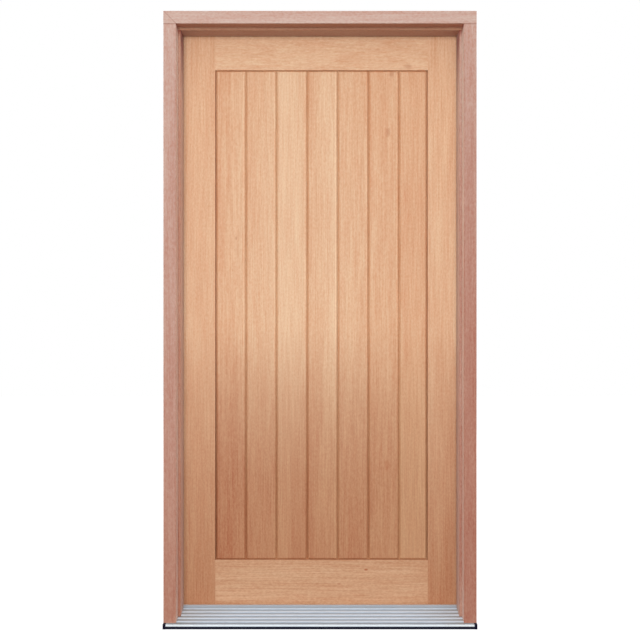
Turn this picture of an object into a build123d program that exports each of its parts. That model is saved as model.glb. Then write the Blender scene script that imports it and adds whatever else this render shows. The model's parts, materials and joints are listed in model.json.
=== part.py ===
from build123d import *
import os

# Framed plank door hung in a rebated hardwood frame on a ribbed metal sill.
# Lengths are in millimetres. X runs across the door, Z is up, and the outside of the door faces -Y.
# The origin is under the middle of the sill, halfway through the depth of the frame.

# Frame, outside to outside
FRAME_WIDTH = 1080.0
FRAME_HEIGHT = 2127.0
FRAME_DEPTH = 146.0

# Section of the frame timber, measured in from its outer face
FRONT_LEG = 43.6
REAR_LEG = 44.0
STOP_THICKNESS = 53.0
SCREEN_REBATE = 38.0
ARRIS = 1.2

# Leaf and the room around it
LEAF_THICKNESS = 44.0
LEAF_GAP = 3.0
SEAL_SPACE = 4.0
FLOOR_GAP = 9.0
HINGE_STILE_WIDTH = 118.4
LOCK_STILE_WIDTH = 107.6
TOP_RAIL_HEIGHT = 125.7
BOTTOM_RAIL_HEIGHT = 162.7
OPENING_BEVEL = 0.8

# Planks, and the tongues that hold them
PLANK_COUNT = 7
LAST_PLANK_TRIM = 7.6
PLANK_RECESS = 3.0
PLANK_CHAMFER = 6.0
PLANK_JOINT = 0.3
PANEL_SIDE_GAP = 2.6
PLANK_TONGUE_THICKNESS = 10.0
PLANK_TONGUE_LENGTH = 8.0
PANEL_TONGUE_THICKNESS = 14.0
PANEL_TONGUE_LENGTH = 11.0
TENON_THICKNESS = 14.0
TENON_LENGTH = 78.0
TENON_SHOULDER = 16.0
WOOD_CLEARANCE = 0.2

# Weather seals
SEAL_WIDTH = 7.0
SEAL_EDGE = 1.5
SEAL_CLEARANCE = 0.3
KERF_WIDTH = 3.0
KERF_DEPTH = 8.0
KERF_CLEARANCE = 0.1
SILL_SEAL_WIDTH = 5.0

# Sill
SILL_PROJECTION = 14.0
SILL_FRONT_HEIGHT = 17.0
SILL_SLOPE_RISE = 19.0
SILL_REAR_HEIGHT = 31.0
SILL_LIP_BOTTOM = 9.0
SILL_LIP_THICKNESS = 4.0
SILL_BASE_SETBACK = 1.0
NOSE_RADIUS = 3.0
UPSTAND_THICKNESS = 6.0
UPSTAND_COVER = 6.0
UPSTAND_RADIUS = 1.5
DECK_WALL = 2.5
RIB_COUNT = 5
RIB_HEIGHT = 2.0
RIB_RADIUS = 0.8
RIB_WIDTH_SHARE = 0.38
CAP_THICKNESS = 10.0

# Butt hinges
HINGE_COUNT = 3
HINGE_HEIGHT = 100.0
HINGE_PLATE_WIDTH = 34.0
HINGE_PLATE_THICKNESS = 2.5
HINGE_CORNER_RADIUS = 6.0
HINGE_POCKET_CLEARANCE = 0.1
TOP_HINGE_DISTANCE = 150.0
BOTTOM_HINGE_DISTANCE = 225.0
KNUCKLE_COUNT = 3
KNUCKLE_RADIUS = 6.5
KNUCKLE_GAP = 0.3
KNUCKLE_STANDOFF = 0.5
PIN_RADIUS = 3.0
PIN_TIGHT_CLEARANCE = 0.02
PIN_RUNNING_CLEARANCE = 0.06

# Countersunk screws, drawn with flat sides
SCREW_SIDES = 10
SCREW_CLEARANCE = 0.05
SCREW_RIM = 0.3
HINGE_SCREW_LENGTH = 32.0
HINGE_SCREW_RADIUS = 2.0
HINGE_SCREW_HEAD_RADIUS = 4.0
HINGE_SCREW_INSET = 14.0
HINGE_SCREW_COUNT = 4
HINGE_SCREW_PLACE_SHARES = (0.32, 0.68)
FRAME_SCREW_LENGTH = 100.0
SILL_SCREW_LENGTH = 70.0
FRAME_SCREW_RADIUS = 2.5
FRAME_SCREW_HEAD_RADIUS = 5.0
FRAME_SCREW_PLACE_SHARES = (-0.3, 0.32)

# How far a cutting body runs past the face it cuts
OVERRUN = 5.0

# Planes through the depth of the door
front_y = -FRAME_DEPTH / 2
back_y = FRAME_DEPTH / 2
stop_front_y = front_y + SCREEN_REBATE
stop_back_y = back_y - LEAF_THICKNESS - SEAL_SPACE
leaf_front_y = back_y - LEAF_THICKNESS
leaf_mid_y = back_y - LEAF_THICKNESS / 2

# Edges of the leaf and of its planked panel
rebate_face_x = -FRAME_WIDTH / 2 + REAR_LEG
leaf_left = rebate_face_x + LEAF_GAP
leaf_right = -leaf_left
leaf_top = FRAME_HEIGHT - REAR_LEG - LEAF_GAP
leaf_bottom = SILL_REAR_HEIGHT + FLOOR_GAP
panel_left = leaf_left + HINGE_STILE_WIDTH
panel_right = leaf_right - LOCK_STILE_WIDTH
panel_top = leaf_top - TOP_RAIL_HEIGHT
panel_bottom = leaf_bottom + BOTTOM_RAIL_HEIGHT
panel_width = panel_right - panel_left
panel_height = panel_top - panel_bottom
plank_cover = (panel_width + LAST_PLANK_TRIM) / PLANK_COUNT
groove_depth = PANEL_TONGUE_LENGTH + WOOD_CLEARANCE
groove_width = PANEL_TONGUE_THICKNESS + 2 * WOOD_CLEARANCE

# Seals lie along the middle of the stop's back face
seal_middle = (REAR_LEG + STOP_THICKNESS) / 2
seal_inner_edge = seal_middle + SEAL_WIDTH / 2

# Sill levels
nose_y = front_y - SILL_PROJECTION
upstand_y = stop_back_y - UPSTAND_THICKNESS
upstand_top = leaf_bottom + UPSTAND_COVER
slope_run = upstand_y - front_y
rib_pitch = slope_run / (RIB_COUNT - (1 - RIB_WIDTH_SHARE) / 2)

# Hinge axis
pin_x = rebate_face_x + LEAF_GAP / 2
pin_y = back_y + KNUCKLE_STANDOFF + KNUCKLE_RADIUS

# Sections of the frame are drawn as (distance in from the outer face, depth) and run along these planes
HINGE_SIDE = Plane((-FRAME_WIDTH / 2, 0, 0), x_dir=(1, 0, 0), z_dir=(0, 0, 1))
LOCK_SIDE = Plane((FRAME_WIDTH / 2, 0, 0), x_dir=(-1, 0, 0), z_dir=(0, 0, -1))
HEAD_SIDE = Plane((0, 0, FRAME_HEIGHT), x_dir=(0, 0, -1), z_dir=(1, 0, 0))
SILL_SIDE = Plane((0, 0, 0), x_dir=(0, 0, 1), z_dir=(-1, 0, 0))


def block(x, y, z):
    """A box between two limits on each axis."""
    sizes = [high - low for low, high in (x, y, z)]
    return Pos(x[0], y[0], z[0]) * Box(*sizes, align=(Align.MIN, Align.MIN, Align.MIN))


def run(plane, section, low, high):
    """A section carried along its plane's normal from one station to another."""
    return extrude(plane.offset(low) * section, amount=high - low, dir=plane.z_dir)


def outline(points):
    """A closed flat face on the given points."""
    return Polygon(*points, align=None)


def eased(points, ease):
    """The same counter-clockwise outline with every outward corner cut off at 45 degrees."""
    result = []
    for before, here, after in zip(points[-1:] + points[:-1], points, points[1:] + points[:1]):
        arrive = Vector(*here) - Vector(*before)
        leave = Vector(*after) - Vector(*here)
        if arrive.cross(leave).Z > 0:
            start = Vector(*here) - arrive.normalized() * ease
            end = Vector(*here) + leave.normalized() * ease
            result += [(start.X, start.Y), (end.X, end.Y)]
        else:
            result.append(here)
    return result


def about_leaf(shape):
    """The mirror image of a shape across the middle of the leaf's thickness."""
    return mirror(shape, about=Plane((0, leaf_mid_y, 0), x_dir=(1, 0, 0), z_dir=(0, 1, 0)))


# Screws

def screw_shape(length, radius, head_radius, clearance=0):
    """A countersunk screw along -Z with its head at the origin or, with a clearance, the hole it seats in."""
    neck = radius + clearance
    seat = head_radius - neck
    head_height = SCREW_RIM + seat
    countersink = extrude(RegularPolygon(head_radius, SCREW_SIDES, major_radius=False), amount=-head_height)
    countersink = chamfer(countersink.faces().sort_by(Axis.Z)[0].edges(), seat)
    shank = Pos(0, 0, -head_height) * RegularPolygon(neck, SCREW_SIDES, major_radius=False)
    return countersink + extrude(shank, amount=head_height - length - clearance)


def at_places(places, shape):
    """Copies of one shape."""
    return [place * shape for place in places]


def hinge_screw(clearance=0):
    return screw_shape(HINGE_SCREW_LENGTH, HINGE_SCREW_RADIUS, HINGE_SCREW_HEAD_RADIUS, clearance)


def frame_screw(length, clearance=0):
    return screw_shape(length, FRAME_SCREW_RADIUS, FRAME_SCREW_HEAD_RADIUS, clearance)


def frame_screw_places():
    """Screws down through the head into both posts."""
    x = FRAME_WIDTH / 2 - REAR_LEG / 2
    return [Pos(side * x, share * FRAME_DEPTH, FRAME_HEIGHT)
            for side in (-1, 1) for share in FRAME_SCREW_PLACE_SHARES]


def sill_screw_places():
    """Screws up through the sill into the feet of both posts."""
    x = FRAME_WIDTH / 2 - (CAP_THICKNESS + REAR_LEG) / 2
    return [Pos(side * x, share * FRAME_DEPTH, 0) * Rot(X=180)
            for side in (-1, 1) for share in FRAME_SCREW_PLACE_SHARES]


# Sill

def tread(y):
    """Height of the tread, which is the plane over the tops of the ribs."""
    return SILL_FRONT_HEIGHT + SILL_SLOPE_RISE * (y - front_y) / slope_run


def sill_envelope():
    """Outside shape of the sill with its ribs bridged, which the posts stand on."""
    return outline([
        (nose_y, 0),
        (back_y, 0),
        (back_y, SILL_REAR_HEIGHT),
        (stop_back_y, SILL_REAR_HEIGHT),
        (stop_back_y, upstand_top),
        (upstand_y, upstand_top),
        (upstand_y, tread(upstand_y)),
        (front_y, SILL_FRONT_HEIGHT),
        (nose_y, SILL_FRONT_HEIGHT),
    ])


def deck_underside():
    """Corners of the face between deck and base, from the back to the nose."""
    drop = RIB_HEIGHT + DECK_WALL
    inside = nose_y + SILL_LIP_THICKNESS
    return [
        (back_y, SILL_REAR_HEIGHT - DECK_WALL),
        (upstand_y, SILL_REAR_HEIGHT - DECK_WALL),
        (upstand_y, tread(upstand_y) - drop),
        (front_y, SILL_FRONT_HEIGHT - drop),
        (inside, SILL_FRONT_HEIGHT - drop),
        (inside, SILL_LIP_BOTTOM),
    ]


def sill_deck():
    """Extruded deck: a rounded nose, ribs up the slope and an upstand in front of the leaf."""
    rib_tops = []
    ribs = [(front_y, SILL_FRONT_HEIGHT), (front_y, tread(front_y) - RIB_HEIGHT)]
    for i in range(RIB_COUNT):
        middle = front_y + rib_pitch * (i + 1 / 2)
        start = middle - rib_pitch * RIB_WIDTH_SHARE / 2
        end = middle + rib_pitch * RIB_WIDTH_SHARE / 2
        ribs += [(start, tread(start) - RIB_HEIGHT), (start, tread(start))]
        rib_tops.append((start, tread(start)))
        if i < RIB_COUNT - 1:
            ribs += [(end, tread(end)), (end, tread(end) - RIB_HEIGHT)]
            rib_tops.append((end, tread(end)))
    top = [
        (nose_y, SILL_LIP_BOTTOM),
        (nose_y, SILL_FRONT_HEIGHT),
        *ribs,
        (upstand_y, tread(upstand_y)),
        (upstand_y, upstand_top),
        (stop_back_y, upstand_top),
        (stop_back_y, SILL_REAR_HEIGHT),
        (back_y, SILL_REAR_HEIGHT),
    ]
    section = outline((top + deck_underside())[::-1])

    def rounded(face, corners, radius):
        chosen = [face.vertices().sort_by_distance(Vector(*corner))[0] for corner in corners]
        return fillet(chosen, radius)

    section = rounded(section, [(nose_y, SILL_FRONT_HEIGHT)], NOSE_RADIUS)
    section = rounded(section, [(upstand_y, upstand_top), (stop_back_y, upstand_top)], UPSTAND_RADIUS)
    section = rounded(section, [(front_y, SILL_FRONT_HEIGHT), *rib_tops], RIB_RADIUS)
    half = FRAME_WIDTH / 2 - CAP_THICKNESS
    return run(Plane.YZ, section, -half, half)


def sill_base():
    """Packer under the deck, set back a little under the nose."""
    face_y = nose_y + SILL_BASE_SETBACK
    section = outline([(face_y, 0), (back_y, 0), *deck_underside(), (face_y, SILL_LIP_BOTTOM)])
    half = FRAME_WIDTH / 2 - CAP_THICKNESS
    return run(Plane.YZ, section, -half, half)


def sill_cap(side):
    """End cap with the outline of the sill."""
    inner = FRAME_WIDTH / 2 - CAP_THICKNESS
    low, high = sorted([side * inner, side * FRAME_WIDTH / 2])
    return run(Plane.YZ, sill_envelope(), low, high)


# Frame

def frame_corners():
    """Corners of the section of head and posts: a front leg, the stop, and a rear leg around the leaf."""
    return [
        (0, front_y),
        (FRONT_LEG, front_y),
        (FRONT_LEG, stop_front_y),
        (STOP_THICKNESS, stop_front_y),
        (STOP_THICKNESS, stop_back_y),
        (REAR_LEG, stop_back_y),
        (REAR_LEG, back_y),
        (0, back_y),
    ]


def kerf_section():
    """Saw kerf in the back of the stop that takes the fin of a seal."""
    depth = KERF_DEPTH + OVERRUN
    return Pos(seal_middle, stop_back_y - KERF_DEPTH + depth / 2) * Rectangle(KERF_WIDTH, depth)


def head():
    """Head of the frame, as long as the frame is wide, lying over both posts."""
    solid = run(HEAD_SIDE, outline(eased(frame_corners(), ARRIS)), -FRAME_WIDTH / 2, FRAME_WIDTH / 2)
    solid -= run(HEAD_SIDE, kerf_section(), -FRAME_WIDTH / 2 - OVERRUN, FRAME_WIDTH / 2 + OVERRUN)
    return solid - at_places(frame_screw_places(), frame_screw(FRAME_SCREW_LENGTH, SCREW_CLEARANCE))


def jamb(plane, low, high):
    """Post scribed under the head's section and over the outline of the sill."""
    solid = run(plane, outline(eased(frame_corners(), ARRIS)), low, high)
    solid -= run(plane, kerf_section(), low, high)
    across = (-FRAME_WIDTH / 2 - OVERRUN, FRAME_WIDTH / 2 + OVERRUN)
    solid -= run(HEAD_SIDE, outline(frame_corners()), *across)
    solid -= run(Plane.YZ, sill_envelope(), *across)
    solid -= at_places(frame_screw_places(), frame_screw(FRAME_SCREW_LENGTH, SCREW_CLEARANCE))
    return solid - at_places(sill_screw_places(), frame_screw(SILL_SCREW_LENGTH, SCREW_CLEARANCE))


# Weather seals

def bulb_section(middle, width):
    """Bulb that fills the space between the stop and the leaf, less a running clearance."""
    top = stop_back_y + SEAL_SPACE - SEAL_CLEARANCE
    return outline([
        (middle - width / 2, stop_back_y),
        (middle + width / 2, stop_back_y),
        (middle + width / 2, top - SEAL_EDGE),
        (middle + width / 2 - SEAL_EDGE, top),
        (middle - width / 2 + SEAL_EDGE, top),
        (middle - width / 2, top - SEAL_EDGE),
    ])


def fin_section():
    """Fin that goes into the kerf, rooted in the bulb."""
    root = (SEAL_SPACE - SEAL_CLEARANCE) / 2
    depth = KERF_DEPTH - KERF_CLEARANCE + root
    fin = Rectangle(KERF_WIDTH - 2 * KERF_CLEARANCE, depth)
    return Pos(seal_middle, stop_back_y + root - depth / 2) * fin


def jamb_seal(plane, direction):
    """Seal down a post. Its fin ends where the kerf does, under the head and over the upstand."""
    bulb_ends = sorted(direction * z for z in
                       (SILL_REAR_HEIGHT + SEAL_CLEARANCE, FRAME_HEIGHT - REAR_LEG - SEAL_CLEARANCE))
    fin_ends = sorted(direction * z for z in
                      (upstand_top + SEAL_CLEARANCE, FRAME_HEIGHT - STOP_THICKNESS - SEAL_CLEARANCE))
    return (run(plane, bulb_section(seal_middle, SEAL_WIDTH), *bulb_ends)
            + run(plane, fin_section(), *fin_ends))


def head_seal():
    """Seal along the head, between the seals of the posts."""
    half = FRAME_WIDTH / 2 - seal_inner_edge - SEAL_CLEARANCE
    return (run(HEAD_SIDE, bulb_section(seal_middle, SEAL_WIDTH), -half, half)
            + run(HEAD_SIDE, fin_section(), -half, half))


def sill_seal():
    """Seal stuck to the back of the sill's upstand."""
    half = FRAME_WIDTH / 2 - seal_inner_edge - SEAL_CLEARANCE
    return run(SILL_SIDE, bulb_section((leaf_bottom + upstand_top) / 2, SILL_SEAL_WIDTH), -half, half)


# Leaf

def opening_bevel():
    """Shallow bevel around the planked panel on both faces, mitred at its corners."""
    middle_x = (panel_left + panel_right) / 2
    middle_z = (panel_bottom + panel_top) / 2

    def level(y, grow):
        face = Plane((middle_x, y, middle_z), x_dir=(1, 0, 0), z_dir=(0, 1, 0))
        return face * Rectangle(panel_width + 2 * grow, panel_height + 2 * grow)

    front = loft([
        level(leaf_front_y, OPENING_BEVEL),
        level(leaf_front_y + OPENING_BEVEL, 0),
    ], ruled=True)
    return [front, about_leaf(front)]


def tenon_levels(rail_low, rail_high, groove_at_low):
    """Lower and upper edge of a rail's tenons, clear of its groove and of the end of the stile."""
    if groove_at_low:
        return rail_low + groove_depth + TENON_SHOULDER, rail_high - TENON_SHOULDER
    return rail_low + TENON_SHOULDER, rail_high - groove_depth - TENON_SHOULDER


TOP_TENON = tenon_levels(panel_top, leaf_top, True)
BOTTOM_TENON = tenon_levels(leaf_bottom, panel_bottom, False)


def middle_band(thickness):
    """Limits in depth of a band in the middle of the leaf's thickness."""
    return leaf_mid_y - thickness / 2, leaf_mid_y + thickness / 2


def rail(low, high, groove, tenon):
    """Rail between the stiles, with a groove for the planks' ends and a tenon at each end."""
    solid = block((panel_left, panel_right), (leaf_front_y, back_y), (low, high))
    solid -= block((panel_left - OVERRUN, panel_right + OVERRUN), middle_band(groove_width), groove)
    solid += block((panel_left - TENON_LENGTH, panel_right + TENON_LENGTH),
                   middle_band(TENON_THICKNESS), tenon)
    return solid - opening_bevel()


def top_rail():
    groove = (panel_top - OVERRUN, panel_top + groove_depth)
    return rail(panel_top, leaf_top, groove, TOP_TENON)


def bottom_rail():
    groove = (panel_bottom - groove_depth, panel_bottom + OVERRUN)
    return rail(leaf_bottom, panel_bottom, groove, BOTTOM_TENON)


def stile(outer, inner):
    """Stile with a groove for the planks and a mortise for each rail."""
    into = 1 if outer > inner else -1
    solid = block(tuple(sorted((outer, inner))), (leaf_front_y, back_y), (leaf_bottom, leaf_top))
    outer_edges = solid.edges().filter_by(Axis.Z).sort_by(Axis.X, reverse=outer > inner)[:2]
    solid = chamfer(outer_edges, ARRIS)
    groove = sorted((inner - into * OVERRUN, inner + into * groove_depth))
    solid -= block(groove, middle_band(groove_width),
                   (panel_bottom - groove_depth, panel_top + groove_depth))
    mortise = sorted((inner - into * OVERRUN, inner + into * (TENON_LENGTH + WOOD_CLEARANCE)))
    for levels in (TOP_TENON, BOTTOM_TENON):
        solid -= block(mortise, middle_band(TENON_THICKNESS), levels)
    return solid - opening_bevel()


def plank_edge(x, outward, kind):
    """Corners along one long edge of a plank, from the front chamfer to the back one."""
    half = LEAF_THICKNESS / 2 - PLANK_RECESS
    if kind == "panel tongue":
        reach, grip = PANEL_SIDE_GAP + PANEL_TONGUE_LENGTH, PANEL_TONGUE_THICKNESS
    elif kind == "tongue":
        reach, grip = PLANK_TONGUE_LENGTH, PLANK_TONGUE_THICKNESS
    else:
        reach = -PLANK_TONGUE_LENGTH - WOOD_CLEARANCE
        grip = PLANK_TONGUE_THICKNESS + 2 * WOOD_CLEARANCE
    end = x + outward * reach
    return [
        (x - outward * PLANK_CHAMFER, leaf_mid_y - half),
        (x, leaf_mid_y - half + PLANK_CHAMFER),
        (x, leaf_mid_y - grip / 2),
        (end, leaf_mid_y - grip / 2),
        (end, leaf_mid_y + grip / 2),
        (x, leaf_mid_y + grip / 2),
        (x, leaf_mid_y + half - PLANK_CHAMFER),
        (x - outward * PLANK_CHAMFER, leaf_mid_y + half),
    ]


def plank_end_cut(shoulder, upward):
    """Waste in front of a plank's end tongue, with the chamfer on the end of its face."""
    face = leaf_mid_y - LEAF_THICKNESS / 2 + PLANK_RECESS
    far = shoulder + upward * (PANEL_TONGUE_LENGTH + OVERRUN)
    section = outline([
        (face - OVERRUN, shoulder - upward * PLANK_CHAMFER),
        (face, shoulder - upward * PLANK_CHAMFER),
        (face + PLANK_CHAMFER, shoulder),
        (leaf_mid_y - PANEL_TONGUE_THICKNESS / 2, shoulder),
        (leaf_mid_y - PANEL_TONGUE_THICKNESS / 2, far),
        (face - OVERRUN, far),
    ][::upward])
    past = PANEL_TONGUE_LENGTH + OVERRUN
    return run(Plane.YZ, section, panel_left - past, panel_right + past)


def plank(number):
    """Plank with V-jointed edges, tongued into its neighbours and standing in the bottom rail's groove."""
    first = number == 1
    last = number == PLANK_COUNT
    left = panel_left + (number - 1) * plank_cover
    right = panel_right if last else left + plank_cover
    left += PANEL_SIDE_GAP if first else PLANK_JOINT / 2
    right -= PANEL_SIDE_GAP if last else PLANK_JOINT / 2
    left_kind = "panel tongue" if first else "groove"
    right_kind = "panel tongue" if last else "tongue"
    section = outline(plank_edge(right, 1, right_kind) + plank_edge(left, -1, left_kind)[::-1])
    low = panel_bottom + PLANK_JOINT / 2
    high = panel_top - PLANK_JOINT / 2
    solid = run(Plane.XY, section, panel_bottom - groove_depth, high + PANEL_TONGUE_LENGTH)
    for shoulder, upward in ((low, -1), (high, 1)):
        front = plank_end_cut(shoulder, upward)
        solid -= [front, about_leaf(front)]
    return solid


# Hinges

def hinge_levels():
    """Heights of the middles of the hinges, bottom to top."""
    low = leaf_bottom + BOTTOM_HINGE_DISTANCE + HINGE_HEIGHT / 2
    high = leaf_top - TOP_HINGE_DISTANCE - HINGE_HEIGHT / 2
    return [low + (high - low) * i / (HINGE_COUNT - 1) for i in range(HINGE_COUNT)]


def plate_outline(level, clearance):
    """Face of a hinge plate, rounded at its two inner corners."""
    width = HINGE_PLATE_WIDTH + clearance
    face = Pos(back_y - width / 2, level) * Rectangle(width, HINGE_HEIGHT + 2 * clearance)
    inner = face.vertices().sort_by(Axis.X)[:2]
    return fillet(inner, HINGE_CORNER_RADIUS)


def plate_depth(on_frame):
    """Limits in X of a plate let into the post or into the edge of the leaf."""
    if on_frame:
        return rebate_face_x - HINGE_PLATE_THICKNESS, rebate_face_x
    return leaf_left, leaf_left + HINGE_PLATE_THICKNESS


def hinge_screw_places(level, on_frame):
    """Four staggered screws through a plate, into the post or into the stile."""
    face = rebate_face_x if on_frame else leaf_left
    turn = Rot(Y=90) if on_frame else Rot(Y=-90)
    step = (HINGE_HEIGHT - 2 * HINGE_SCREW_INSET) / (HINGE_SCREW_COUNT - 1)
    places = []
    for i in range(HINGE_SCREW_COUNT):
        z = level - HINGE_HEIGHT / 2 + HINGE_SCREW_INSET + i * step
        y = back_y - HINGE_PLATE_WIDTH * HINGE_SCREW_PLACE_SHARES[i % len(HINGE_SCREW_PLACE_SHARES)]
        places.append(Pos(face, y, z) * turn)
    return places


def hinge_waste(on_frame):
    """Pockets for the plates of all hinges and the holes for their screws."""
    hole = hinge_screw(SCREW_CLEARANCE)
    waste = []
    for level in hinge_levels():
        waste.append(run(Plane.YZ, plate_outline(level, HINGE_POCKET_CLEARANCE), *plate_depth(on_frame)))
        waste += at_places(hinge_screw_places(level, on_frame), hole)
    return waste


def hinge_plate(level, on_frame):
    """Plate with its share of the knuckles, bored for the pin and drilled for its screws."""
    depth = plate_depth(on_frame)
    solid = run(Plane.YZ, plate_outline(level, 0), *depth)
    pitch = HINGE_HEIGHT / KNUCKLE_COUNT
    for k in range(0 if on_frame else 1, KNUCKLE_COUNT, 2):
        low = level - HINGE_HEIGHT / 2 + k * pitch + KNUCKLE_GAP / 2
        high = low + pitch - KNUCKLE_GAP
        solid += block(depth, (back_y - HINGE_PLATE_THICKNESS, pin_y), (low, high))
        solid += Pos(pin_x, pin_y, (low + high) / 2) * Cylinder(KNUCKLE_RADIUS, high - low)
    clearance = PIN_TIGHT_CLEARANCE if on_frame else PIN_RUNNING_CLEARANCE
    solid -= Pos(pin_x, pin_y, level) * Cylinder(PIN_RADIUS + clearance, HINGE_HEIGHT + OVERRUN)
    return solid - at_places(hinge_screw_places(level, on_frame), hinge_screw(SCREW_CLEARANCE))


def hinge_pin(level):
    """Pin as long as the hinge, with its ends flush."""
    return Pos(pin_x, pin_y, level) * Cylinder(PIN_RADIUS, HINGE_HEIGHT - KNUCKLE_GAP)


def group(shapes):
    """Like pieces kept together as separate solids."""
    return Compound(children=[solid for shape in shapes for solid in shape.solids()])


def build():
    """Every piece of the door by its name."""
    length = FRAME_HEIGHT
    sill_holes = at_places(sill_screw_places(), frame_screw(SILL_SCREW_LENGTH, SCREW_CLEARANCE))
    pieces = {
        "head": head(),
        "hinge_jamb": jamb(HINGE_SIDE, 0, length) - hinge_waste(True),
        "lock_jamb": jamb(LOCK_SIDE, -length, 0),
        "sill_deck": sill_deck() - sill_holes,
        "sill_base": sill_base() - sill_holes,
        "sill_cap_hinge_side": sill_cap(-1),
        "sill_cap_lock_side": sill_cap(1),
        "seal_hinge_side": jamb_seal(HINGE_SIDE, 1),
        "seal_lock_side": jamb_seal(LOCK_SIDE, -1),
        "seal_head": head_seal(),
        "seal_sill": sill_seal(),
        "frame_screws": group(at_places(frame_screw_places(), frame_screw(FRAME_SCREW_LENGTH))),
        "sill_screws": group(at_places(sill_screw_places(), frame_screw(SILL_SCREW_LENGTH))),
        "hinge_stile": stile(leaf_left, panel_left) - hinge_waste(False),
        "lock_stile": stile(leaf_right, panel_right),
        "top_rail": top_rail(),
        "bottom_rail": bottom_rail(),
    }
    for number in range(1, PLANK_COUNT + 1):
        pieces[f"plank_{number}"] = plank(number)
    for number, level in enumerate(hinge_levels(), 1):
        pieces[f"hinge_{number}_frame_plate"] = hinge_plate(level, True)
        pieces[f"hinge_{number}_leaf_plate"] = hinge_plate(level, False)
        pieces[f"hinge_{number}_pin"] = hinge_pin(level)
    for name, on_frame in (("hinge_screws_frame", True), ("hinge_screws_leaf", False)):
        places = [place for level in hinge_levels() for place in hinge_screw_places(level, on_frame)]
        pieces[name] = group(at_places(places, hinge_screw()))
    return pieces


os.makedirs("parts", exist_ok=True)
for piece_name, piece in build().items():
    export_step(piece, f"parts/{piece_name}.step")
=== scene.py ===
import json
import math

import bpy
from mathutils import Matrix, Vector


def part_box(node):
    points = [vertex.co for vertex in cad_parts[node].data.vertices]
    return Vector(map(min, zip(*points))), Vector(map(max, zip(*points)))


# Looks of a framed plank door in its frame. Lengths are in metres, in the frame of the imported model.
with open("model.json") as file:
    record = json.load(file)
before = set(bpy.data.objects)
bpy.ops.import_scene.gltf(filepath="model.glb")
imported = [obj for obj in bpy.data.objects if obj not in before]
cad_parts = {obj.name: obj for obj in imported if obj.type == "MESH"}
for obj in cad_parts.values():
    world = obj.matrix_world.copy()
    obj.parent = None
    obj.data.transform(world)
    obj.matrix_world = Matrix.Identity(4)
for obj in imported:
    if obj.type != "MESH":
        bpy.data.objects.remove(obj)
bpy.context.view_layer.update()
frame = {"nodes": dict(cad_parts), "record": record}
nodes = frame["nodes"]
scene = bpy.context.scene

# View: level, in front of the middle of the door
PHOTO_PIXELS = 640
METRES_PER_PIXEL = 0.0034466
CAMERA_DISTANCE = 2.70
CAMERA_HEIGHT = 1.0611

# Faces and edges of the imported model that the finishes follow
HEAD_LOW, HEAD_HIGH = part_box("head")
JAMB_LOW, JAMB_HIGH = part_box("hinge_jamb")
RAIL_LOW, RAIL_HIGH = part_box("top_rail")
FRONT_FACE_Y = HEAD_LOW.y
JAMB_TOP = JAMB_HIGH.z
LEAF_MID_Y = (RAIL_LOW.y + RAIL_HIGH.y) / 2
PLANK_HALF_THICKNESS = LEAF_MID_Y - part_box("plank_1")[0].y
PLANK_TONGUE = 0.008
PLANK_CHAMFER = 0.006
LAST_PLANK = "plank_7"

# Depths behind the front face: of the stop's front, and of its back, where the sill's seal starts
STOP_DEPTH = 0.038
STOP_BACK_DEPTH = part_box("seal_sill")[0].y - FRONT_FACE_Y

# Axes that grain and brush lines follow
ALONG_X = 0
ALONG_Z = 2


def linear(red, green, blue):
    """An sRGB colour given in steps of 255, as Blender's linear colour."""
    def decode(step):
        value = step / 255
        return value / 12.92 if value <= 0.04045 else ((value + 0.055) / 1.055) ** 2.4
    return (decode(red), decode(green), decode(blue), 1.0)


def between(low, high, share):
    """The colour a share of the way from one colour to another."""
    return tuple(a + (b - a) * share for a, b in zip(low, high))


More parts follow.
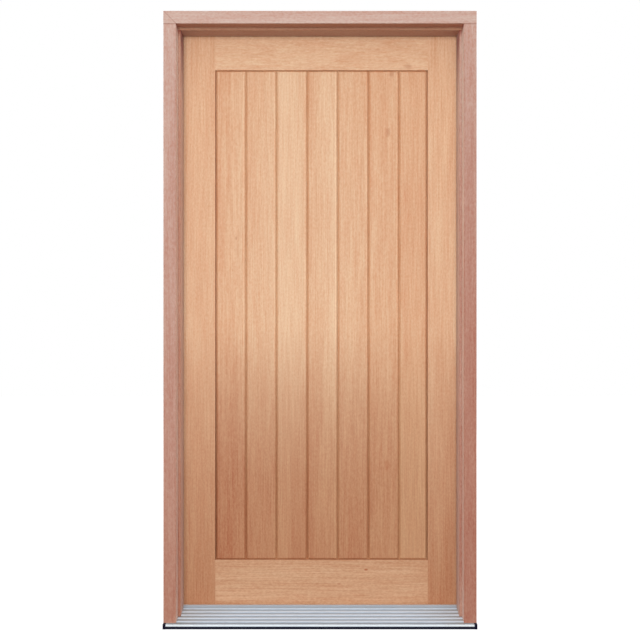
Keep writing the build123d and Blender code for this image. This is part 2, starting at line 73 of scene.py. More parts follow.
class Graph:
    """The node tree of a material or a world, built one node at a time."""

    def __init__(self, owner):
        self.owner = owner
        owner.use_nodes = True
        self.tree = owner.node_tree
        self.tree.nodes.clear()

    def node(self, kind, inputs=None, **settings):
        """A node with its settings made and each named input set to a value or joined to a socket."""
        made = self.tree.nodes.new("ShaderNode" + kind)
        for key, value in settings.items():
            setattr(made, key, value)
        for key, value in (inputs or {}).items():
            self.feed(made.inputs[key], value)
        return made

    def feed(self, socket, value):
        """Set an input to a value, or join it to another node's output."""
        if isinstance(value, bpy.types.NodeSocket):
            self.tree.links.new(value, socket)
        else:
            socket.default_value = value

    def math(self, operation, first, second=0.0):
        """One operation on one or two numbers."""
        return self.node("Math", {0: first, 1: second}, operation=operation).outputs[0]

    def apart(self, first, second):
        """How far apart two numbers are."""
        return self.math("ABSOLUTE", self.math("SUBTRACT", first, second))

    def product(self, *values):
        """Several numbers multiplied together."""
        total = values[0]
        for value in values[1:]:
            total = self.math("MULTIPLY", total, value)
        return total

    def weighted(self, *parts):
        """The sum of several numbers, each with its own weight."""
        total = self.product(*parts[0])
        for part in parts[1:]:
            total = self.math("ADD", total, self.product(*part))
        return total

    def blend(self, share, first, second, mode="MIX"):
        """One colour over another by a share from 0 to 1."""
        made = self.node("Mix", data_type="RGBA", blend_type=mode, clamp_factor=True)
        self.feed(made.inputs[0], share)
        self.feed(made.inputs[6], first)
        self.feed(made.inputs[7], second)
        return made.outputs[2]

    def remap(self, value, low, high, to_low=0.0, to_high=1.0, ease="LINEAR"):
        """A number moved from one range to another, and held at its ends."""
        limits = {"Value": value, "From Min": low, "From Max": high, "To Min": to_low, "To Max": to_high}
        return self.node("MapRange", limits, interpolation_type=ease).outputs[0]

    def curve(self, value, stops):
        """A number that follows straight lines between (position, value) stops in order."""
        low, high = stops[0][0], stops[-1][0]
        ramp = self.node("ValToRGB", {0: self.remap(value, low, high)})
        elements = ramp.color_ramp.elements
        for i, (position, level) in enumerate(stops):
            at = (position - low) / (high - low)
            element = elements[i] if i < 2 else elements.new(at)
            element.position = at
            element.color = (level, level, level, 1.0)
        return ramp.outputs[0]

    def noise(self, vector, detail=2.0, roughness=0.5, distortion=0.0):
        """Smooth noise from 0 to 1 over the given coordinates."""
        settings = {"Vector": vector, "Scale": 1.0, "Detail": detail, "Roughness": roughness,
                    "Distortion": distortion}
        return self.node("TexNoise", settings).outputs[0]

    def coordinate(self, axis):
        """One of the object coordinates, X, Y or Z."""
        coordinates = self.node("TexCoord").outputs["Object"]
        return self.node("SeparateXYZ", {0: coordinates}).outputs[axis]

    def place(self, scale, offset=(0.0, 0.0, 0.0)):
        """Object coordinates, scaled on each axis and moved."""
        coordinates = self.node("TexCoord").outputs["Object"]
        return self.node("Mapping", {"Vector": coordinates, "Scale": scale, "Location": offset}).outputs[0]

    def cloud(self, per_metre, detail=2.0):
        """Noise that is alike in every direction, with so many patches to the metre."""
        return self.noise(self.place((per_metre, per_metre, per_metre)), detail=detail)

    def depth(self):
        """How far a point lies behind the front face of the frame."""
        return self.math("SUBTRACT", self.coordinate("Y"), FRONT_FACE_Y)

    def finish(self, height=None, bump_strength=0.0, bump_distance=0.0, **inputs):
        """The surface shader, with an optional bump, joined to the output."""
        named = {key.replace("_", " "): value for key, value in inputs.items()}
        surface = self.node("BsdfPrincipled", named)
        if height is not None:
            relief = {"Height": height, "Strength": bump_strength, "Distance": bump_distance}
            self.feed(surface.inputs["Normal"], self.node("Bump", relief).outputs[0])
        self.node("OutputMaterial", {"Surface": surface.outputs[0]})
        return self.owner


def new_material(name):
    """An empty node tree in a material of its own."""
    return Graph(bpy.data.materials.new(name))


def dress(piece, material):
    """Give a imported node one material."""
    nodes[piece].data.materials.clear()
    nodes[piece].data.materials.append(material)


# Timber of the leaf and the frame

# Streaks to the metre, as (across the grain, along the grain)
BROAD_BANDS = (26.0, 1.8)
LONG_STREAKS = (230.0, 6.0)
SHORT_FLECKS = (210.0, 100.0)
TINT_STREAKS = (160.0, 14.0)

# Steps in X, Y and Z that give each seed its own stretch of noise
SEED_STEPS = (7.31, 3.77, 5.13)

# The part of a timber noise's range that is stretched to the full range of colour
FIGURE_RANGE = (0.36, 0.64)

PINKER = (1.005, 0.99, 0.985, 1.0)
YELLOWER = (0.995, 1.01, 1.015, 1.0)
TIMBER_BUMP = 0.0006


def grain(graph, along, streaks, seed, curl=1.0, **noise):
    """Streaks that run along one axis. A larger curl makes them shorter."""
    across_per_metre, along_per_metre = streaks
    scale = [across_per_metre] * 3
    scale[along] = along_per_metre * curl
    offset = tuple(seed * step for step in SEED_STEPS)
    return graph.noise(graph.place(scale, offset), **noise)


def timber_figure(graph, along, seed, weights, wave, curl=1.0):
    """Figure of sawn timber from 0 to 1: broad bands, long streaks and short flecks along the grain."""
    broad = grain(graph, along, BROAD_BANDS, seed, curl, distortion=wave)
    streaks = grain(graph, along, LONG_STREAKS, seed + 1, curl, detail=3.0, roughness=0.6, distortion=wave)
    flecks = grain(graph, along, SHORT_FLECKS, seed + 2, roughness=0.6)
    return graph.weighted(*zip((broad, streaks, flecks), weights))


def figured(graph, pattern, pair, tone, contrast):
    """A pattern drawn in two colours about a tone between a pair of them."""
    return graph.blend(pattern, between(*pair, tone - contrast), between(*pair, tone + contrast))


def tinted(graph, colour, along, seed):
    """Streaks of pinker and yellower timber beside each other."""
    pink = graph.remap(grain(graph, along, TINT_STREAKS, seed + 3), *FIGURE_RANGE)
    return graph.blend(1.0, colour, graph.blend(pink, YELLOWER, PINKER), mode="MULTIPLY")


# Leaf: stiles, rails and planks

LEAF_PAIR = (linear(218, 162, 122), linear(235, 197, 160))
# Colours of the painted shade at the foot of upright pieces
FOOT_PAIR = (linear(183, 122, 86), linear(210, 163, 122))
LOW_RAIL_PAIR = (linear(193, 136, 98), linear(218, 174, 138))
LEAF_CONTRAST = 0.57
FOOT_CONTRAST = 0.39
LEAF_WEIGHTS = (0.22, 0.44, 0.34)
LEAF_WAVE = 0.4
LEAF_ROUGHNESS = (0.50, 0.62)

# Painted shade: heights at which upright timber is painted darker and redder towards the foot, standing in
# for the sheen that upright grain catches only on its upper half, as (height, depth of colour)
PLANK_FADE = [(0.24, 1.0), (0.36, 0.96), (0.48, 0.92), (0.77, 0.57), (1.04, 0.0)]
STILE_FADE = [(0.08, 1.0), (0.26, 0.85), (0.48, 0.68), (0.77, 0.42), (1.03, 0.0)]

# A painted highlight: a paler band of glow across the planks, as (height, share)
GLOW_BAND = [(0.62, 0.0), (0.90, 1.0), (1.14, 1.0), (1.36, 0.0)]
GLOW_BAND_COLOUR = (1.025, 1.04, 1.045, 1.0)

# A painted highlight: a paler line on each plank beside its joint, where the arris catches the light, and
# the heights where it comes in
ARRIS_HIGHLIGHT_COLOUR = (1.10, 1.12, 1.14, 1.0)
ARRIS_HIGHLIGHT_WIDTH = 0.003
ARRIS_HIGHLIGHT_HEIGHTS = (0.55, 1.05)

# Shade in the joints, by distance from the middle of the thickness, and the heights where it comes in
GROOVE_SHADE_COLOUR = linear(238, 233, 229)
GROOVE_FLOOR = PLANK_HALF_THICKNESS - PLANK_CHAMFER
GROOVE_LIP = PLANK_HALF_THICKNESS - PLANK_CHAMFER / 8
GROOVE_HEIGHTS = (0.21, 0.24)

# Knots and darker swirls, as (place across, height, radius, depth of colour)
KNOTS = {
    "plank_1": [
        (-0.300, 1.354, 0.004, 0.40),
    ],
    "plank_6": [
        (0.257, 1.944, 0.010, 0.34),
        (0.243, 1.733, 0.010, 0.34),
        (0.240, 0.542, 0.013, 0.36),
    ],
    "top_rail": [
        (0.315, 1.968, 0.009, 0.36),
    ],
    "bottom_rail": [
        (0.1645, 0.168, 0.0042, 0.90),
        (0.067, 0.117, 0.004, 0.45),
    ],
}
KNOT_COLOUR = linear(176, 98, 58)

# Reach of a knot's core and of its edge, in radii, and the share that distances along the grain count for
KNOT_CORE = 0.35
KNOT_EDGE = 1.25
KNOT_ALONG_SHARE = 0.55


def knot(graph, colour, centre, radius, along, depth):
    """A small dark knot, drawn out along the grain."""
    scale = [1 / radius] * 3
    scale[along] = KNOT_ALONG_SHARE / radius
    offset = tuple(-c * s for c, s in zip(centre, scale))
    reach = graph.node("VectorMath", {0: graph.place(scale, offset)}, operation="LENGTH").outputs["Value"]
    share = graph.remap(reach, KNOT_CORE, KNOT_EDGE, depth, 0.0, ease="SMOOTHSTEP")
    return graph.blend(share, colour, KNOT_COLOUR)


def arris_highlight(graph, colour, edge_x):
    """A painted highlight: a paler line along the arris where a plank's face meets its chamfer."""
    away = graph.apart(graph.coordinate("X"), edge_x - ARRIS_HIGHLIGHT_WIDTH / 2)
    share = graph.remap(away, ARRIS_HIGHLIGHT_WIDTH / 3, ARRIS_HIGHLIGHT_WIDTH, 1.0, 0.0)
    above_foot = graph.remap(graph.coordinate("Z"), *ARRIS_HIGHLIGHT_HEIGHTS)
    return graph.blend(graph.product(share, above_foot), colour, ARRIS_HIGHLIGHT_COLOUR, mode="MULTIPLY")


def groove_shade(graph, colour):
    """Painted shade in the joints between planks, on both faces of the leaf."""
    from_middle = graph.apart(graph.coordinate("Y"), LEAF_MID_Y)
    share = graph.remap(from_middle, GROOVE_FLOOR, GROOVE_LIP, 1.0, 0.0)
    above_foot = graph.remap(graph.coordinate("Z"), *GROOVE_HEIGHTS)
    return graph.blend(graph.product(share, above_foot), colour, GROOVE_SHADE_COLOUR, mode="MULTIPLY")


def plank_tones(graph, piece, colour):
    """What planks have besides their grain: the painted highlights of the pale band and of the arris, and
    the painted shade in their joints.
    """
    # Painted highlight: a pale band across the planks
    band = graph.curve(graph.coordinate("Z"), GLOW_BAND)
    colour = graph.blend(band, colour, GLOW_BAND_COLOUR, mode="MULTIPLY")
    if piece != LAST_PLANK:
        # Painted highlight on the arris beside the tongue
        colour = arris_highlight(graph, colour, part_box(piece)[1].x - PLANK_TONGUE - PLANK_CHAMFER)
    return groove_shade(graph, colour)


def leaf_wood(piece, seed, along, pair, tone, foot=None, fade_stops=None, slant=0.0,
              wave=LEAF_WAVE, curl=1.0):
    """Pale straight-grained timber with fine close streaks; upright pieces are painted darker and redder
    towards the foot, as painted shade standing in for the sheen their upright grain catches only on its
    upper half.
    """
    graph = new_material("leaf_wood_" + piece)
    low_corner, high_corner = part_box(piece)
    figure = timber_figure(graph, along, seed, LEAF_WEIGHTS, wave, curl)
    across = graph.remap(graph.coordinate("X"), low_corner.x, high_corner.x, -slant / 2, slant / 2)
    pattern = graph.math("ADD", graph.remap(figure, *FIGURE_RANGE), across)
    colour = figured(graph, pattern, pair, tone, LEAF_CONTRAST)
    # Painted shade: darker, redder colours towards the foot of upright pieces
    if fade_stops:
        low = figured(graph, pattern, FOOT_PAIR, foot, FOOT_CONTRAST)
        colour = graph.blend(graph.curve(graph.coordinate("Z"), fade_stops), colour, low)
    colour = tinted(graph, colour, along, seed)
    for x, z, radius, depth in KNOTS.get(piece, ()):
        colour = knot(graph, colour, (x, low_corner.y, z), radius, along, depth)
    if piece.startswith("plank"):
        colour = plank_tones(graph, piece, colour)
    roughness = graph.remap(figure, *FIGURE_RANGE, *LEAF_ROUGHNESS)
    return graph.finish(height=figure, bump_strength=0.12, bump_distance=TIMBER_BUMP,
                        Base_Color=colour, Roughness=roughness, Specular_IOR_Level=0.35)


# Upright pieces: seed, tones above and in the painted shade at the foot, and how much paler the right edge
# is than the left
for piece, seed, tone, foot, slant in (
    ("hinge_stile", 11, 0.42, 0.26, 0.0),
    ("lock_stile", 12, 0.49, 0.17, 0.0),
    ("plank_1", 21, 0.38, -0.03, 0.32),
    ("plank_2", 22, 0.52, 0.18, 0.12),
    ("plank_3", 23, 0.71, 0.25, -0.22),
    ("plank_4", 24, 0.58, 0.32, 0.50),
    ("plank_5", 65, 0.40, 0.15, 0.0),
    ("plank_6", 68, 0.28, 0.30, 0.0),
    ("plank_7", 27, 0.23, 0.68, -0.10),
):
    fade_stops = PLANK_FADE if piece.startswith("plank") else STILE_FADE
    dress(piece, leaf_wood(piece, seed, ALONG_Z, LEAF_PAIR, tone, foot, fade_stops, slant))

# Rails: seed, pair of colours, tone, and how wavy and how short the grain is
for piece, seed, pair, tone, wave, curl in (
    ("top_rail", 31, LEAF_PAIR, 0.57, 1.2, 3.6),
    ("bottom_rail", 32, LOW_RAIL_PAIR, 0.45, LEAF_WAVE, 0.8),
):
    dress(piece, leaf_wood(piece, seed, ALONG_X, pair, tone, wave=wave, curl=curl))


# Frame: head and posts

FRAME_TOP_PAIR = (linear(195, 146, 129), linear(213, 190, 178))
# Colours of the painted shade at the foot of the posts
FRAME_FOOT_PAIR = (linear(176, 113, 92), linear(197, 149, 128))
FRAME_WEIGHTS = (0.26, 0.36, 0.38)
FRAME_WAVE = 0.8
FRAME_ROUGHNESS = 0.55
FRAME_SHEEN_TINT = (1.0, 0.88, 0.80, 1.0)

# Painted shade: heights at which the posts are painted darker towards the foot, standing in for light that
# falls off lower down, as (height, depth of colour), and its share on the faces lining the doorway
HINGE_JAMB_FADE = [(0.05, 1.0), (0.30, 0.92), (0.60, 0.77), (1.00, 0.66), (1.50, 0.46), (2.10, 0.0)]
LOCK_JAMB_FADE = [(0.05, 1.0), (0.60, 1.0), (1.00, 0.90), (1.50, 0.68), (1.75, 0.46), (2.10, 0.0)]
LINING_FADE_SHARE = 0.62

# The doorway's lining lies further in than the frame's outer edge, and starts behind its front face
OUTER_EDGE = 0.02
LINING_HALF_WIDTH = HEAD_HIGH.x - OUTER_EDGE
LINING_TOP = HEAD_HIGH.z - OUTER_EDGE
REVEAL_EDGE = 0.001
REVEAL_SOFT = 0.004

# Depths between which the painted light and shade change, at the stop's front and on its way round to the
# inner side
STOP_FRONT_CHANGE = (STOP_DEPTH - 0.0015, STOP_DEPTH - 0.0005)
STOP_INSIDE_CHANGE = (STOP_DEPTH + 0.001, STOP_DEPTH + 0.003)

# Painted light and shade, as changes of colour in the reveal, on the stop's front, and at the front and back
# of its inner side: painted lighter on the posts' reveals and the front of the stops' inner sides, darker
# under the head, on the stops' fronts and towards their backs
HEAD_REVEAL_LIGHT = ((0.89, 0.65, 0.56), (0.71, 0.53, 0.37), (0.93, 0.86, 0.83), (0.87, 0.79, 0.76))
HINGE_JAMB_REVEAL_LIGHT = ((1.44, 1.79, 1.90), (0.91, 0.75, 0.64), (1.21, 1.30, 1.32), (0.81, 0.74, 0.72))
LOCK_JAMB_REVEAL_LIGHT = ((1.56, 2.12, 2.30), (0.93, 0.92, 0.90), (1.30, 1.56, 1.63), (0.70, 0.66, 0.66))

# How far the painted shade in the corner under the head reaches down, as (depth behind the front face,
# length)
STOP_TURN = 0.004
CORNER_REACH = [
    (0.0, 0.010),
    (STOP_DEPTH, 0.030),
    (STOP_DEPTH + STOP_TURN, 0.190),
    (STOP_BACK_DEPTH, 0.300),
]

# How the painted corner shade fades, as (share of that length, depth of colour)
CORNER_FALL = [(0.0, 1.0), (0.22, 1.0), (0.50, 0.55), (1.0, 0.0)]
CORNER_SHADE_COLOUR = (0.46, 0.10, 0.05, 1.0)
CORNER_ROUGHNESS = 0.9

# Hairlines of the corner joints
JOINT_COLOUR = linear(150, 92, 76)
JOINT_WIDTH = 0.0022
JOINT_SHARE = 0.5


def lining(graph, along):
    """1 on the faces that line the doorway in front of the leaf, and 0 on the other faces of the frame."""
    inner = graph.math("LESS_THAN", graph.math("ABSOLUTE", graph.coordinate("X")), LINING_HALF_WIDTH)
    if along == ALONG_X:
        inner = graph.product(inner, graph.math("LESS_THAN", graph.coordinate("Z"), LINING_TOP))
    depth = graph.depth()
    behind = graph.remap(depth, REVEAL_EDGE, REVEAL_EDGE + REVEAL_SOFT)
    return graph.product(inner, behind, graph.math("LESS_THAN", depth, STOP_BACK_DEPTH + REVEAL_EDGE))


def painted_reveal_light(graph, colour, lined, reveal, stop_front, stop_inside, stop_back):
    """Painted light and shade behind the front face: in the reveal, on the stop's front and on its inner
    side.
    """
    depth = graph.depth()
    inside = graph.blend(graph.remap(depth, STOP_DEPTH, STOP_BACK_DEPTH),
                         (*stop_inside, 1.0), (*stop_back, 1.0))
    behind = graph.blend(graph.remap(depth, *STOP_FRONT_CHANGE), (*reveal, 1.0), (*stop_front, 1.0))
    behind = graph.blend(graph.remap(depth, *STOP_INSIDE_CHANGE), behind, inside)
    return graph.blend(lined, colour, behind, mode="MULTIPLY")


def painted_corner_shade(graph, lined):
    """Share of painted shade in the posts' corner under the head, which reaches further down the deeper it
    lies.
    """
    reach = graph.curve(graph.depth(), CORNER_REACH)
    down = graph.math("SUBTRACT", JAMB_TOP, graph.coordinate("Z"))
    return graph.product(graph.curve(graph.math("DIVIDE", down, reach), CORNER_FALL), lined)


def joint_lines(graph, colour, along):
    """Hairlines of the joints: under the head on both posts, and a mitre across the head's hinge end."""
    if along == ALONG_Z:
        line_from = JAMB_TOP - 2 * JOINT_WIDTH
        line_full = JAMB_TOP - JOINT_WIDTH / 2
        share = graph.remap(graph.coordinate("Z"), line_from, line_full, 0.0, JOINT_SHARE)
    else:
        inward = graph.math("SUBTRACT", graph.coordinate("X"), HEAD_LOW.x)
        down = graph.math("SUBTRACT", HEAD_HIGH.z, graph.coordinate("Z"))
        share = graph.remap(graph.apart(inward, down), JOINT_WIDTH / 3, JOINT_WIDTH, JOINT_SHARE, 0.0)
    return graph.blend(share, colour, JOINT_COLOUR)


def frame_wood(piece, seed, along, tone, contrast, shelter, sheen, foot, fade_stops):
    """Pinkish hardwood with close streaks and short flecks, with painted light and shade behind its front
    face, painted shade in the posts' corner under the head and painted shade towards the posts' foot.
    """
    graph = new_material("frame_wood_" + piece)
    figure = timber_figure(graph, along, seed, FRAME_WEIGHTS, FRAME_WAVE)
    pattern = graph.remap(figure, *FIGURE_RANGE)
    colour = figured(graph, pattern, FRAME_TOP_PAIR, tone, contrast)
    lined = lining(graph, along)
    # Painted shade: the posts darker towards the foot, and less so on the faces lining the doorway
    if fade_stops:
        fade = graph.product(graph.curve(graph.coordinate("Z"), fade_stops),
                             graph.remap(lined, 0.0, 1.0, 1.0, LINING_FADE_SHARE))
        low = figured(graph, pattern, FRAME_FOOT_PAIR, foot, contrast)
        colour = graph.blend(fade, colour, low)
    colour = tinted(graph, colour, along, seed)
    colour = joint_lines(graph, colour, along)
    # Painted light and shade on the faces lining the doorway
    colour = painted_reveal_light(graph, colour, lined, *shelter)
    roughness = FRAME_ROUGHNESS
    if along == ALONG_Z:
        # Painted shade in the corner under the head, where the timber is also rougher
        corner = painted_corner_shade(graph, lined)
        colour = graph.blend(corner, colour, CORNER_SHADE_COLOUR, mode="MULTIPLY")
        roughness = graph.remap(corner, 0.0, 1.0, FRAME_ROUGHNESS, CORNER_ROUGHNESS)
    return graph.finish(height=figure, bump_strength=0.15, bump_distance=TIMBER_BUMP,
                        Base_Color=colour, Roughness=roughness, Specular_IOR_Level=0.4,
                        Sheen_Weight=sheen, Sheen_Roughness=0.4, Sheen_Tint=FRAME_SHEEN_TINT)


# Head and posts: seed, grain, tone, contrast, painted light and shade behind the front face, sheen, and the
# painted shade of the posts towards the foot
for piece, seed, along, tone, contrast, shelter, sheen, foot, fade_stops in (
    ("head", 41, ALONG_X, 0.45, 0.48, HEAD_REVEAL_LIGHT, 0.10, None, None),
    ("hinge_jamb", 42, ALONG_Z, 0.44, 0.52, HINGE_JAMB_REVEAL_LIGHT, 0.30, 0.44, HINGE_JAMB_FADE),
    ("lock_jamb", 43, ALONG_Z, 0.35, 0.52, LOCK_JAMB_REVEAL_LIGHT, 0.30, 0.19, LOCK_JAMB_FADE),
):
    dress(piece, frame_wood(piece, seed, along, tone, contrast, shelter, sheen, foot, fade_stops))


# Sill, seals, hinges and screws

# The tread rises from the foot of the posts to the upstand
UPSTAND_THICKNESS = 0.006
UPSTAND_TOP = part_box("sill_deck")[1].z
TREAD_DEPTH = STOP_BACK_DEPTH - UPSTAND_THICKNESS
TREAD_FRONT_HEIGHT = JAMB_LOW.z
TREAD_RISE = 0.019
RIB_HEIGHT = 0.002

# Painted highlight on the crests of the ribs, by depth behind the front face and by shares of a rib's height
# under its top
CREST_START = 0.002
CREST_LOW_SHARE = 0.8
CREST_FULL_SHARE = 0.3

# The nose's painted highlight, a bright line, by height and by depth in front of the front face
NOSE_LOW = 0.0112
NOSE_HIGH = 0.0152
NOSE_SOFT = 0.0014
NOSE_LEAD = 0.008

# The upstand's painted shade starts a little in front of it, and its top is painted light, pale and warm
UPSTAND_LEAD = 0.0032
CROWN_DEPTH = 0.0006
CROWN_SOFT = 0.0004
CROWN_FROM = UPSTAND_TOP - CROWN_DEPTH
CROWN_FULL = CROWN_FROM + CROWN_SOFT
CROWN_LIGHT_COLOUR = linear(236, 200, 172)

# Painted reflection: a warm tint of the posts on the ends of the tread, and how far it reaches in at the
# front and the back
POST_REFLECTION_TINT = (0.90, 0.78, 0.66, 1.0)
WARM_HALF_WIDTH = 0.485
WARM_REACH = (0.08, 0.26)
WARM_SHARE = 0.8

# Pairs of metal colours
DULL_METAL = (linear(168, 183, 197), linear(180, 194, 207))
CREST_HIGHLIGHT_METAL = (linear(217, 230, 243), linear(225, 237, 249))
NOSE_HIGHLIGHT_METAL = (linear(236, 247, 255), linear(242, 250, 255))
SHADED_METAL = (linear(162, 168, 175), linear(172, 177, 184))
METAL_PATCHES = (6.0, 20.0, 20.0)

# Lines to the metre, as (across, along), and the part of their noise's range that changes the gloss
EXTRUSION_LINES = (2600.0, 2.0)
EXTRUSION_SEED = 51
BRUSH_LINES = (3200.0, 60.0)
BRUSH_SEED = 61
LINE_RANGE = (0.3, 0.7)
ALUMINIUM_ROUGHNESS = (0.34, 0.46)
ALUMINIUM_PATCH_ROUGHNESS = 0.06
STEEL_ROUGHNESS = (0.26, 0.40)
STEEL_PATCHES = 60.0
FINE_BUMP = 0.0002

# Mottle of moulded pieces, in patches to the metre, and its change of gloss
FINE_MOTTLE = 900.0
BROAD_MOTTLE = 30.0
MOTTLE_ROUGHNESS = 0.06


def tread_metal(graph, cloud, depth, height):
    """Dull metal, with a painted reflection of the posts warming it beside them, and a painted highlight on
    the crests of the ribs.
    """
    # Painted reflection of the posts near the tread's ends
    from_end = graph.math("SUBTRACT", WARM_HALF_WIDTH, graph.math("ABSOLUTE", graph.coordinate("X")))
    warm_reach = graph.remap(depth, 0.0, TREAD_DEPTH, *WARM_REACH)
    warm = graph.remap(graph.math("DIVIDE", from_end, warm_reach), 0.0, 1.0, WARM_SHARE, 0.0)
    dull = graph.blend(warm, graph.blend(cloud, *DULL_METAL), POST_REFLECTION_TINT, mode="MULTIPLY")
    # Painted highlight on the crests of the ribs, by their height above the tread
    tread = graph.math("ADD", graph.math("MULTIPLY", depth, TREAD_RISE / TREAD_DEPTH), TREAD_FRONT_HEIGHT)
    proud = graph.math("SUBTRACT", height, tread)
    crest = graph.product(graph.remap(proud, -CREST_LOW_SHARE * RIB_HEIGHT, -CREST_FULL_SHARE * RIB_HEIGHT),
                          graph.math("GREATER_THAN", depth, CREST_START))
    return graph.blend(crest, dull, graph.blend(cloud, *CREST_HIGHLIGHT_METAL))


def nose_line(graph, depth, height):
    """Share of painted highlight along the front of the nose."""
    above = graph.remap(height, NOSE_LOW - NOSE_SOFT, NOSE_LOW)
    below = graph.remap(height, NOSE_HIGH, NOSE_HIGH + NOSE_SOFT, 1.0, 0.0)
    return graph.product(above, below, graph.math("LESS_THAN", depth, -NOSE_LEAD))


def drawn_aluminium():
    """Dull extrusion with fine lines along its length, a painted highlight on the nose, painted shade on the
    upstand and painted light on its top.
    """
    graph = new_material("aluminium")
    lines = grain(graph, ALONG_X, EXTRUSION_LINES, EXTRUSION_SEED)
    cloud = graph.noise(graph.place(METAL_PATCHES), detail=3.0)
    depth = graph.depth()
    height = graph.coordinate("Z")
    colour = tread_metal(graph, cloud, depth, height)
    # Painted highlight along the nose
    colour = graph.blend(nose_line(graph, depth, height), colour, graph.blend(cloud, *NOSE_HIGHLIGHT_METAL))
    upstand = graph.math("GREATER_THAN", depth, TREAD_DEPTH - UPSTAND_LEAD)
    colour = graph.blend(upstand, colour, graph.blend(cloud, *SHADED_METAL))
    # Painted light on the upstand's top
    crown = graph.product(upstand, graph.remap(height, CROWN_FROM, CROWN_FULL))
    colour = graph.blend(crown, colour, CROWN_LIGHT_COLOUR)
    gloss = graph.remap(lines, *LINE_RANGE, *ALUMINIUM_ROUGHNESS)
    roughness = graph.weighted((gloss, 1.0), (cloud, ALUMINIUM_PATCH_ROUGHNESS))
    return graph.finish(height=lines, bump_strength=0.06, bump_distance=FINE_BUMP,
                        Base_Color=colour, Metallic=0.05, Roughness=roughness, Specular_IOR_Level=0.25)


def moulded(name, dark, light, roughness):
    """Dull plastic or rubber with a slight mottle."""
    graph = new_material(name)
    fine = graph.cloud(FINE_MOTTLE)
    colour = graph.blend(graph.cloud(BROAD_MOTTLE, detail=3.0), dark, light)
    dullness = graph.remap(fine, *LINE_RANGE, roughness - MOTTLE_ROUGHNESS, roughness + MOTTLE_ROUGHNESS)
    return graph.finish(height=fine, bump_strength=0.08, bump_distance=FINE_BUMP,
                        Base_Color=colour, Roughness=dullness, Specular_IOR_Level=0.2)


def brushed_steel(name, dark, light, along):
    """Steel with brush lines along one axis."""
    graph = new_material(name)
    lines = grain(graph, along, BRUSH_LINES, BRUSH_SEED)
    colour = graph.blend(graph.cloud(STEEL_PATCHES), dark, light)
    roughness = graph.remap(lines, *LINE_RANGE, *STEEL_ROUGHNESS)
    return graph.finish(height=lines, bump_strength=0.05, bump_distance=FINE_BUMP,
                        Base_Color=colour, Metallic=1.0, Roughness=roughness)


FINISHES = {
    "aluminium": drawn_aluminium(),
    "black_plastic": moulded("black_plastic", linear(4, 3, 30), linear(9, 8, 40), roughness=0.6),
    "seal_rubber": moulded("seal_rubber", linear(100, 68, 50), linear(114, 78, 58), roughness=0.68),
    "hinge_steel": brushed_steel("hinge_steel", linear(176, 175, 172), linear(200, 199, 196), ALONG_Z),
    "screw_steel": brushed_steel("screw_steel", linear(170, 170, 170), linear(204, 204, 204), ALONG_X),
}

for subpart in frame["record"]["subparts"]:
    if subpart["material_slot"] in FINISHES:
        dress(subpart["node"], FINISHES[subpart["material_slot"]])


# Stage: floor, surroundings, lights and camera

FLOOR_HALF_WIDTH = 8.0
PAPER_PAIR = (linear(88, 88, 88), linear(94, 94, 94))
PAPER_GLOW_PAIR = (linear(251, 251, 251), linear(253, 253, 253))
PAPER_PATCHES = 0.6

# The sky that lights the door, and the upward parts of a direction between which it changes
SKY_BELOW = (0.12, 0.08, 0.06, 1.0)
SKY_ABOVE = (0.72, 0.72, 0.72, 1.0)
SKY_CHANGE = (-0.25, 0.10)
WHITE = (1.0, 1.0, 1.0, 1.0)

# Each light box has its middle at this level, and is this tall
LIGHT_LEVEL = 1.72
LIGHT_HEIGHT = 2.6


def make_floor():
    """Pale paper that glows evenly, so that it ends without a line at the horizon.

    Its glow neither lights the door nor shows in the metal.
    """
    half = FLOOR_HALF_WIDTH
    mesh = bpy.data.meshes.new("floor")
    corners = [(-half, -half, 0), (half, -half, 0), (half, half, 0), (-half, half, 0)]
    mesh.from_pydata(corners, [], [(0, 1, 2, 3)])
    floor = bpy.data.objects.new("floor", mesh)
    scene.collection.objects.link(floor)
    graph = new_material("floor_paper")
    cloud = graph.cloud(PAPER_PATCHES)
    paper = graph.finish(Base_Color=graph.blend(cloud, *PAPER_PAIR), Roughness=0.9,
                         Emission_Color=graph.blend(cloud, *PAPER_GLOW_PAIR), Emission_Strength=1.0)
    floor.data.materials.append(paper)
    floor.visible_diffuse = False
    floor.visible_glossy = False


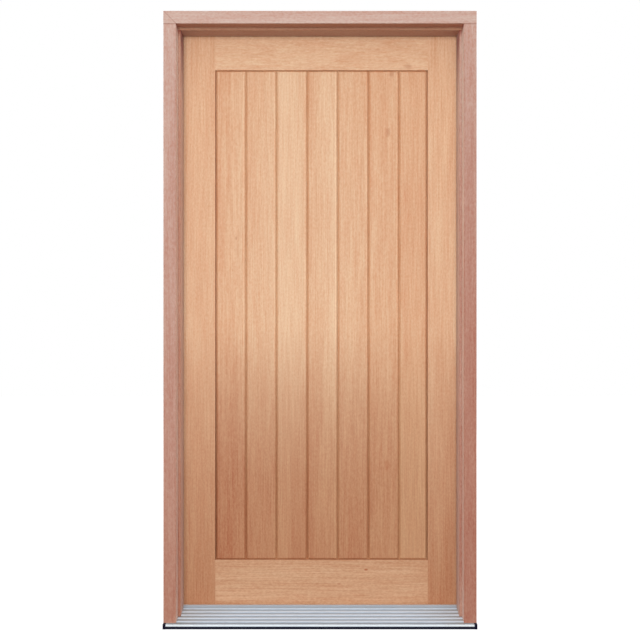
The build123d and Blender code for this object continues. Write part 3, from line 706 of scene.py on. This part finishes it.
def make_world():
    """White behind everything, and for lighting a soft sky that is darker below."""
    scene.world = bpy.data.worlds.new("studio")
    graph = Graph(scene.world)
    direction = graph.node("TexCoord").outputs["Generated"]
    upward = graph.node("SeparateXYZ", {0: direction}).outputs["Z"]
    sky_colour = graph.blend(graph.remap(upward, *SKY_CHANGE), SKY_BELOW, SKY_ABOVE)
    sky = graph.node("Background", {"Color": sky_colour}).outputs[0]
    white = graph.node("Background", {"Color": WHITE}).outputs[0]
    seen = graph.node("LightPath").outputs["Is Camera Ray"]
    shown = graph.node("MixShader", {0: seen, 1: sky, 2: white}).outputs[0]
    graph.node("OutputWorld", {"Surface": shown})


def make_light(name, x, y, target, width, watts):
    """A soft upright box of light, turned towards a target."""
    lamp = bpy.data.lights.new(name, "AREA")
    lamp.shape = "RECTANGLE"
    lamp.size = width
    lamp.size_y = LIGHT_HEIGHT
    lamp.energy = watts
    place = Vector((x, y, LIGHT_LEVEL))
    holder = bpy.data.objects.new(name, lamp)
    holder.location = place
    holder.rotation_euler = (Vector(target) - place).to_track_quat("-Z", "Y").to_euler()
    holder.visible_camera = False
    scene.collection.objects.link(holder)


def make_camera():
    """A level camera whose width of view holds the photograph's pixels at the front face."""
    lens = bpy.data.cameras.new("camera")
    half_width = PHOTO_PIXELS / 2 * METRES_PER_PIXEL
    lens.angle = 2 * math.atan(half_width / CAMERA_DISTANCE)
    camera = bpy.data.objects.new("camera", lens)
    camera.location = (0, FRONT_FACE_Y - CAMERA_DISTANCE, CAMERA_HEIGHT)
    camera.rotation_euler = (math.radians(90), 0, 0)
    scene.collection.objects.link(camera)
    scene.camera = camera


make_floor()
make_world()

# Light boxes: place on the floor plan, target, width and power
for name, x, y, target, width, watts in (
    ("front_box", -0.3, -4.6, (0.0, 0.0, 2.2), 2.6, 132),
    ("rear_box", 0.3, 4.6, (0.0, 0.0, 1.2), 2.6, 110),
    ("left_box", -4.2, 1.2, (0.0, 0.1, 1.2), 1.6, 80),
    ("right_box", 4.2, 1.2, (0.0, 0.1, 1.2), 1.6, 80),
):
    make_light(name, x, y, target, width, watts)
make_camera()
scene.view_settings.view_transform = "Standard"
